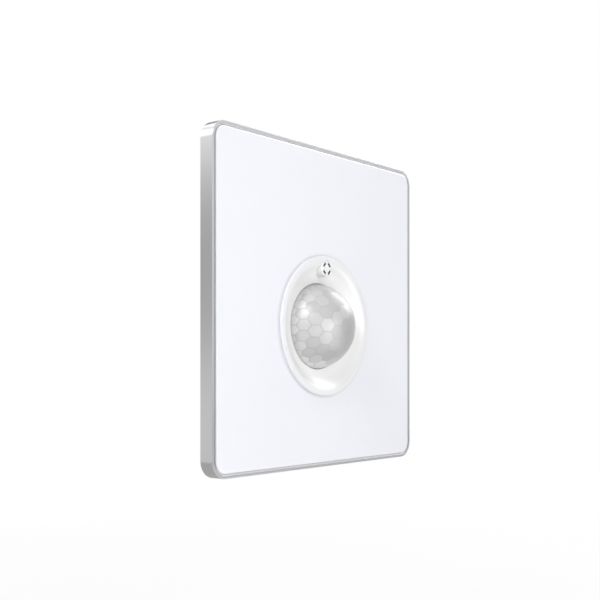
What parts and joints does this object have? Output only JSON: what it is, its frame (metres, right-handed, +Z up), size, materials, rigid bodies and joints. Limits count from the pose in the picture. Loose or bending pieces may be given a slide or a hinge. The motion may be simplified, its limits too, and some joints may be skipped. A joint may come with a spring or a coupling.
{
  "type": "motion sensor light switch",
  "caption": "Square wall switch with a silver edge, white plate, round dished bezel, faceted dome motion sensor lens and small slotted light port, on a flush-box base with screw clamps.",
  "frame": {"origin": "on the wall plane, midway between the two fixing slots, which is the middle of the plate", "axes": "+X right as seen from the room, +Y into the wall, +Z up"},
  "size_m": [0.086, 0.0325, 0.086],
  "materials": {
    "silver_metal": "satin silver",
    "white_gloss": "smooth gloss white",
    "bezel_white": "semi-gloss white",
    "lens_milky": "milky translucent, faceted",
    "carrier_grey": "moulded, fine texture",
    "retainer_grey": "moulded, dark grey",
    "screw_steel": "zinc plated",
    "base_white": "moulded white",
    "housing_ivory": "moulded off-white",
    "board_green": "solder mask",
    "can_nickel": "nickel plated can",
    "filter_dark": "dark silicon filter",
    "photocell_tan": "ceramic disc",
    "chip_black": "moulded epoxy",
    "trimmer_blue": "moulded blue",
    "rotor_white": "moulded white",
    "pin_brass": "gold flashed",
    "relay_blue": "moulded blue",
    "film_yellow": "moulded yellow",
    "can_black": "sleeved can",
    "varistor_blue": "dipped epoxy",
    "fuse_brown": "moulded brown",
    "terminal_white": "moulded white",
    "busbar_brass": "plain brass",
    "cage_steel": "zinc plated"
  },
  "bodies": {
    "base": {"mounting_base": "base_white", "rear_housing": "housing_ivory", "housing_screws": "screw_steel", "sensor_board": "board_green", "sensor_board_screws": "screw_steel", "pir_sensor": "can_nickel", "pir_window": "filter_dark", "photocell": "photocell_tan", "controller_chip": "chip_black", "delay_trimmer_body": "trimmer_blue", "lux_trimmer_body": "trimmer_blue", "header_spacer": "chip_black", "header_pins": "pin_brass", "power_board": "board_green", "power_board_screws": "screw_steel", "relay": "relay_blue", "film_capacitor": "film_yellow", "electrolytic_capacitor": "can_black", "bridge_rectifier": "chip_black", "varistor": "varistor_blue", "fuse": "fuse_brown", "terminal_block": "terminal_white", "busbars": "busbar_brass"},
    "front_cover": {"trim_frame": "silver_metal", "front_plate": "white_gloss", "cover_carrier": "carrier_grey", "sensor_bezel": "bezel_white", "fresnel_lens": "lens_milky", "lens_retainer": "retainer_grey", "retainer_screws": "screw_steel", "light_port_cap": "bezel_white"},
    "delay_trimmer": {"delay_trimmer_rotor": "rotor_white"},
    "lux_trimmer": {"lux_trimmer_rotor": "rotor_white"},
    "left_screw": {"left_terminal_screw": "screw_steel"},
    "left_cage": {"left_clamp_cage": "cage_steel"},
    "middle_screw": {"middle_terminal_screw": "screw_steel"},
    "middle_cage": {"middle_clamp_cage": "cage_steel"},
    "right_screw": {"right_terminal_screw": "screw_steel"},
    "right_cage": {"right_clamp_cage": "cage_steel"}
  },
  "joints": [
    {"name": "cover_pull", "type": "slide", "parent": "base", "child": "front_cover", "axis": [0, -1, 0], "range_m": [0, 0.025]},
    {"name": "delay_trimmer_turn", "type": "hinge", "parent": "base", "child": "delay_trimmer", "pos_m": [-0.0122, 0.002, -0.0132], "axis": [0, -1, 0], "range_deg": [-105, 105]},
    {"name": "lux_trimmer_turn", "type": "hinge", "parent": "base", "child": "lux_trimmer", "pos_m": [0.0122, 0.002, -0.0132], "axis": [0, -1, 0], "range_deg": [-105, 105]},
    {"name": "left_screw_turn", "type": "hinge", "parent": "base", "child": "left_screw", "pos_m": [-0.0095, 0.0185, -0.0238], "axis": [0, -1, 0], "range_deg": [0, 2400.1]},
    {"name": "left_cage_rise", "type": "slide", "parent": "base", "child": "left_cage", "axis": [0, 1, 0], "range_m": [0, 0.004]},
    {"name": "middle_screw_turn", "type": "hinge", "parent": "base", "child": "middle_screw", "pos_m": [0, 0.0185, -0.0238], "axis": [0, -1, 0], "range_deg": [0, 2400.1]},
    {"name": "middle_cage_rise", "type": "slide", "parent": "base", "child": "middle_cage", "axis": [0, 1, 0], "range_m": [0, 0.004]},
    {"name": "right_screw_turn", "type": "hinge", "parent": "base", "child": "right_screw", "pos_m": [0.0095, 0.0185, -0.0238], "axis": [0, -1, 0], "range_deg": [0, 2400.1]},
    {"name": "right_cage_rise", "type": "slide", "parent": "base", "child": "right_cage", "axis": [0, 1, 0], "range_m": [0, 0.004]}
  ],
  "couplings": [
    {"joint": "left_screw_turn", "follows": "left_cage_rise", "rad_per_m": 10472},
    {"joint": "middle_screw_turn", "follows": "middle_cage_rise", "rad_per_m": 10472},
    {"joint": "right_screw_turn", "follows": "right_cage_rise", "rad_per_m": 10472}
  ]
}
